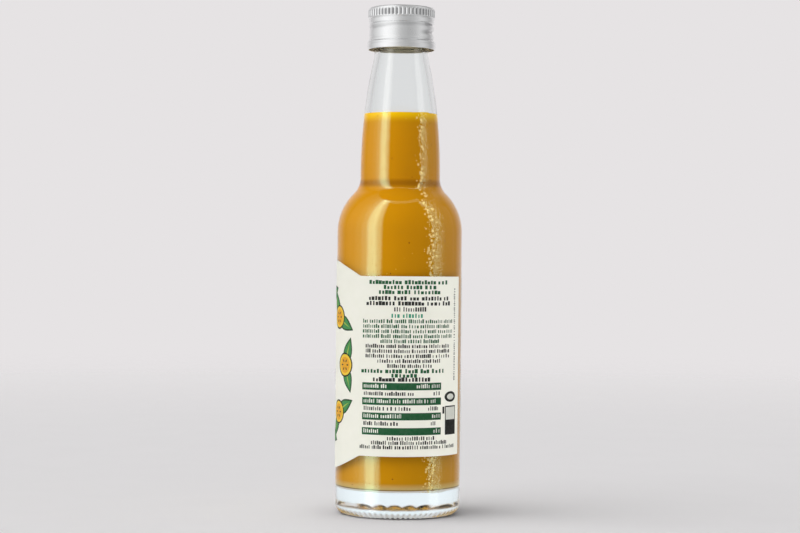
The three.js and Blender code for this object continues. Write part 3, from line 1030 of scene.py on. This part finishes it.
def curved_lamp(name, azimuths, elevations, stops, receivers):
    """A lamp on a sphere round the bottle, as bright as its stops (azimuth, strength) say, for some pieces."""
    shape = bmesh.new()
    counts = [math.ceil((end - start) / LAMP_STEP) for start, end in (azimuths, elevations)]
    rows = []
    for i in range(counts[1] + 1):
        rise = math.radians(elevations[0] + (elevations[1] - elevations[0]) * i / counts[1])
        row = []
        for k in range(counts[0] + 1):
            turn = math.radians(azimuths[0] + (azimuths[1] - azimuths[0]) * k / counts[0])
            flat = LAMP_DISTANCE * math.cos(rise)
            spot = (flat * math.sin(turn), -flat * math.cos(turn), LAMP_CENTRE + LAMP_DISTANCE * math.sin(rise))
            row.append(shape.verts.new([axis * MM for axis in spot]))
        rows.append(row)
    for lower, upper in zip(rows, rows[1:]):
        for k in range(counts[0]):
            shape.faces.new([lower[k], lower[k + 1], upper[k + 1], upper[k]])
    lamp = smooth_piece(name, shape)
    material = bpy.data.materials.new(name)
    material.use_nodes = True
    tree = material.node_tree
    axes = add(tree, "ShaderNodeSeparateXYZ", {0: spread(tree, (1, 1, 1))}).outputs
    angle = maths(tree, "ARCTAN2", axes[0], maths(tree, "MULTIPLY", axes[1], -1))
    level = stops[0][1]
    for (start, before), (end, after) in zip(stops, stops[1:]):
        share = eased(tree, angle, math.radians(start), math.radians(end))
        level = maths(tree, "MULTIPLY_ADD", share, after - before, level)
    glow = add(tree, "ShaderNodeEmission", {"Strength": level}).outputs[0]
    clear = add(tree, "ShaderNodeBsdfTransparent", {}).outputs[0]
    both = add(tree, "ShaderNodeAddShader", {0: glow, 1: clear}).outputs[0]
    tree.links.new(both, tree.nodes["Material Output"].inputs["Surface"])
    material.cycles.emission_sampling = "NONE"
    lamp.data.materials.append(material)
    lamp.light_linking.receiver_collection = receivers
    lamp.visible_camera = False
    lamp.visible_diffuse = False
    lamp.visible_transmission = False
    lamp.visible_shadow = False


def foot_card(width, low, high, distance):
    """A bright card low behind the bottle, which only shows through the clear glass of its foot."""
    shape = bmesh.new()
    corners = [(-width, low), (width, low), (width, high), (-width, high)]
    shape.faces.new([shape.verts.new((across * MM, distance * MM, height * MM)) for across, height in corners])
    card = smooth_piece("foot_card", shape)
    material = bpy.data.materials.new("foot card")
    material.use_nodes = True
    tree = material.node_tree
    glow = add(tree, "ShaderNodeEmission", {"Color": (0.93, 0.97, 1.0, 1), "Strength": 1.0}).outputs[0]
    tree.links.new(glow, tree.nodes["Material Output"].inputs["Surface"])
    material.cycles.emission_sampling = "NONE"
    card.data.materials.append(material)
    card.visible_camera = False
    card.visible_diffuse = False
    card.visible_glossy = False
    card.visible_shadow = False


def soft_sun(name, azimuth, elevation, spread_angle, strength, receivers):
    """Far, wide light from one side that lights matt surfaces evenly and shows in no reflection."""
    light = bpy.data.lights.new(name, "SUN")
    light.angle = math.radians(spread_angle)
    light.energy = strength * math.pi
    light.cycles.use_multiple_importance_sampling = False
    lamp = bpy.data.objects.new(name, light)
    lamp.rotation_euler = (math.radians(90 - elevation), 0, math.radians(azimuth))
    lamp.visible_camera = False
    lamp.visible_glossy = False
    lamp.visible_transmission = False
    lamp.light_linking.receiver_collection = receivers
    bpy.context.scene.collection.objects.link(lamp)


glassware = group_of("glassware", [bottle, sauce])
metal = group_of("metal", [cap])
only_sauce = group_of("only the sauce", [sauce])
only_label = group_of("only the label", [label])
only_floor = group_of("only the floor", [floor])
all_but_floor = group_of("all but the floor", [floor])
all_but_floor.collection_objects[0].light_linking.link_state = "EXCLUDE"
left_stops = [(-115, 0.2), (-95, 0.5), (-80, 1.2), (-66, 2.9), (-56, 9.0), (-47, 10.2), (-38, 5.4), (-29, 0.0)]
right_stops = [(54, 0.0), (63, 4.2), (76, 4.2), (86, 0.6), (120, 0.3)]
top_stops = [(-60, 2.2), (0, 1.3), (70, 1.6)]
curved_lamp("left_softbox", (-115, -29), (-50, 64), left_stops, glassware)
curved_lamp("right_softbox", (54, 120), (-50, 58), right_stops, glassware)
curved_lamp("top_softbox", (-60, 70), (60, 66), top_stops, glassware)
foot_card(400, -80, 45, 160)
tent_stops = [(-180, 0.05), (-135, 0.1), (-100, 0.7), (-56, 1.1), (-40, 1.02), (4, 0.46), (28, 0.38), (44, 0.45)]
tent_stops += [(76, 0.68), (95, 0.5), (130, 0.1), (180, 0.05)]
curved_lamp("cap_tent", (-180, 180), (-70, 80), tent_stops, metal)
soft_sun("overhead_light", 0, 80, 70, 0.34, all_but_floor)
soft_sun("left_light", -75, 32, 40, 0.36, all_but_floor)
soft_sun("front_light", 0, 10, 60, 0.14, all_but_floor)
soft_sun("left_fill", -50, 15, 80, 0.55, only_sauce)
soft_sun("right_fill", 95, 10, 80, 0.36, only_sauce)
soft_sun("back_light", 180, 15, 80, 0.3, all_but_floor)
soft_sun("back_fill", 180, 15, 80, 0.35, only_sauce)
soft_sun("label_light", 75, 5, 60, 0.28, only_label)
soft_sun("lining_light", 0, -50, 60, 1.2, metal)
soft_sun("floor_light", -70, 50, 60, 0.38, only_floor)
soft_sun("floor_overhead", 0, 80, 120, 0.15, only_floor)

world = bpy.data.worlds.new("studio")
world.use_nodes = True
bpy.context.scene.world = world
sky = world.node_tree
direction = add(sky, "ShaderNodeSeparateXYZ", {0: add(sky, "ShaderNodeTexCoord", {}).outputs["Generated"]}).outputs
ray = add(sky, "ShaderNodeLightPath", {}).outputs
around = eased(sky, direction[1], 0.3, 0.95)
reflected = add(
    sky, "ShaderNodeMix", {"Factor": around, 6: (0.07, 0.07, 0.07, 1), 7: colour(BACKDROP)}, data_type="RGBA"
).outputs[2]
low_down = maths(sky, "SUBTRACT", 1, eased(sky, direction[2], -0.12, -0.04))
beyond = add(
    sky, "ShaderNodeMix", {"Factor": around, 6: (0.5, 0.5, 0.5, 1), 7: colour(BACKDROP)}, data_type="RGBA"
).outputs[2]
through = add(
    sky, "ShaderNodeMix", {"Factor": low_down, 6: beyond, 7: (0.88, 0.9, 0.94, 1)}, data_type="RGBA"
).outputs[2]
mirrored = add(sky, "ShaderNodeMix", {"Factor": ray["Is Transmission Ray"], 6: reflected, 7: through}, data_type="RGBA")
lit = add(
    sky, "ShaderNodeMix", {"Factor": ray["Is Diffuse Ray"], 6: mirrored.outputs[2], 7: (0.33, 0.33, 0.33, 1)}, data_type="RGBA"
)
unseen = add(sky, "ShaderNodeBackground", {"Color": lit.outputs[2]}).outputs[0]
backdrop = add(sky, "ShaderNodeBackground", {"Color": colour(BACKDROP)}).outputs[0]
both = add(sky, "ShaderNodeMixShader", {0: ray["Is Camera Ray"], 1: unseen, 2: backdrop}).outputs[0]
sky.links.new(both, sky.nodes["World Output"].inputs["Surface"])

# Camera. A long lens, level with the middle of the bottle, which leans a touch in the picture.
LENS = 90
CAMERA_DISTANCE = 651.1
CAMERA_HEIGHT = 80.09
CAMERA_ASIDE = 0.2
CAMERA_ROLL = 0.53

camera = bpy.data.objects.new("camera", bpy.data.cameras.new("camera"))
camera.data.lens = LENS
camera.data.sensor_width = 36
camera.location = (CAMERA_ASIDE * MM, -CAMERA_DISTANCE * MM, CAMERA_HEIGHT * MM)
camera.rotation_euler = (math.radians(90), math.radians(-CAMERA_ROLL), 0)
bpy.context.scene.collection.objects.link(camera)
bpy.context.scene.camera = camera
bpy.context.scene.view_settings.view_transform = "Standard"

# Lamps are picked one by one, without the light tree, so that each render of this scene is the same.
bpy.context.scene.cycles.use_light_tree = False
